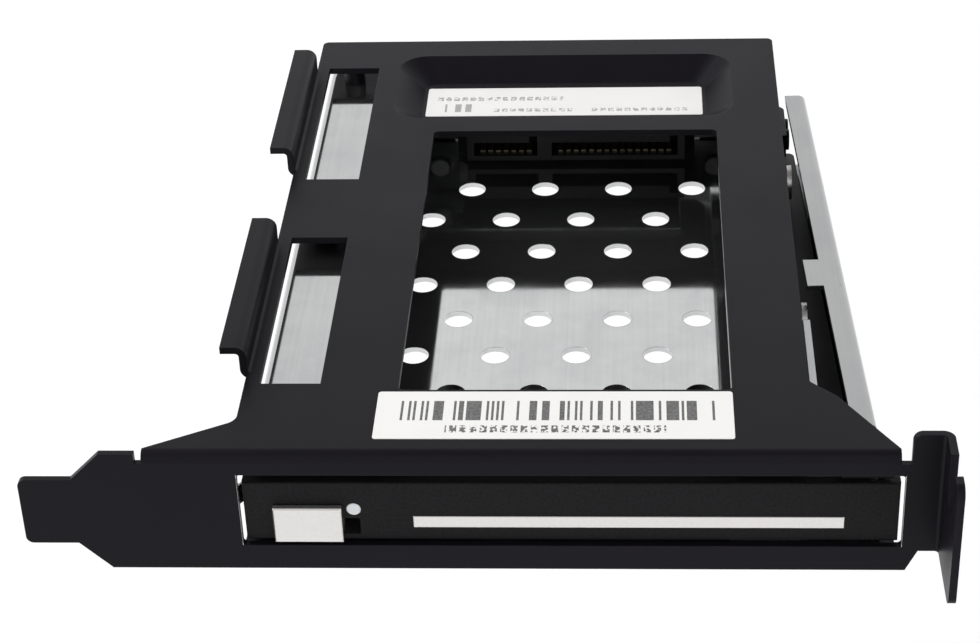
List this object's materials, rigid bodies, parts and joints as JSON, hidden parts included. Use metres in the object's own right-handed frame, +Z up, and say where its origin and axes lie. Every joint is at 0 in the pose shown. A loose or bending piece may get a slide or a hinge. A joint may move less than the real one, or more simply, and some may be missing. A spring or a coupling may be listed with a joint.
{
  "type": "removable hard drive bay",
  "caption": "Removable drive bay on an expansion-slot bracket: black folded plate over a zinc cage for a 2.5 inch drive, with a hinged door, release slider and ejector",
  "frame": {"origin": "middle of the underside of the whole part, at the level of the bracket's lower edge", "axes": "X along the bracket from its tongue to its screw tab, Y from the door to the rear connectors, Z up"},
  "size_m": [0.12, 0.1284, 0.0224],
  "materials": {
    "black_sheet": "satin black powder coat",
    "black_rivet": "satin black paint",
    "zinc_sheet": "bright zinc plate",
    "oxide_steel": "black oxide",
    "rivet_steel": "plain bright",
    "spring_steel": "rolled",
    "door_plastic": "fine texture",
    "slide_plastic": "moulded",
    "connector_plastic": "moulded",
    "silver_trim": "silver paint",
    "lens_plastic": "clear",
    "board_laminate": "black solder mask",
    "contact_gold": "gold flash",
    "label_stock": "satin white label"
  },
  "bodies": {
    "frame": {"slot_plate": "black_sheet", "lower_support": "black_sheet", "plate_studs": "black_rivet", "rear_rivets": "black_rivet", "hinge_stud": "black_rivet", "left_rail": "zinc_sheet", "right_rail": "zinc_sheet", "floor_plate": "zinc_sheet", "side_guard": "zinc_sheet", "rear_bracket": "zinc_sheet", "floor_rivets": "rivet_steel", "slide_rivets": "rivet_steel", "board_screws": "rivet_steel", "hinge_pin": "rivet_steel", "hinge_washers": "rivet_steel", "hinge_block": "door_plastic", "drive_receptacle": "connector_plastic", "data_plug": "connector_plastic", "power_plug": "connector_plastic", "backplane_board": "board_laminate", "receptacle_contacts": "contact_gold", "plug_contacts": "contact_gold"},
    "door": {"door_panel": "door_plastic", "accent_strip": "silver_trim", "indicator_lens": "lens_plastic", "crank_pin": "rivet_steel", "latch_spring": "spring_steel", "latch_rivet": "rivet_steel"},
    "latch": {"release_slider": "silver_trim", "slider_plate": "slide_plastic"},
    "ejector": {"ejector_slide": "slide_plastic", "ejector_fork": "zinc_sheet", "ejector_hook": "oxide_steel", "ejector_rivets": "oxide_steel"}
  },
  "joints": [
    {"name": "door_hinge", "type": "hinge", "parent": "frame", "child": "door", "pos_m": [0.05079, -0.04979, 0.0095], "axis": [0, 0, 1], "range_deg": [0, 90], "deforming": ["latch_spring"]},
    {"name": "latch_slide", "type": "slide", "parent": "door", "child": "latch", "axis": [1, 0, 0], "range_m": [0, 0.002], "stiffness_N_per_m": 500, "springref_m": -0.0005, "deforming": ["latch_spring"]},
    {"name": "ejector_run", "type": "slide", "parent": "frame", "child": "ejector", "axis": [0, -1, 0], "range_m": [0, 0.00848]}
  ],
  "couplings": [
    {"joint": "ejector_run", "follows": "door_hinge", "m_per_rad": 0.0054019}
  ]
}
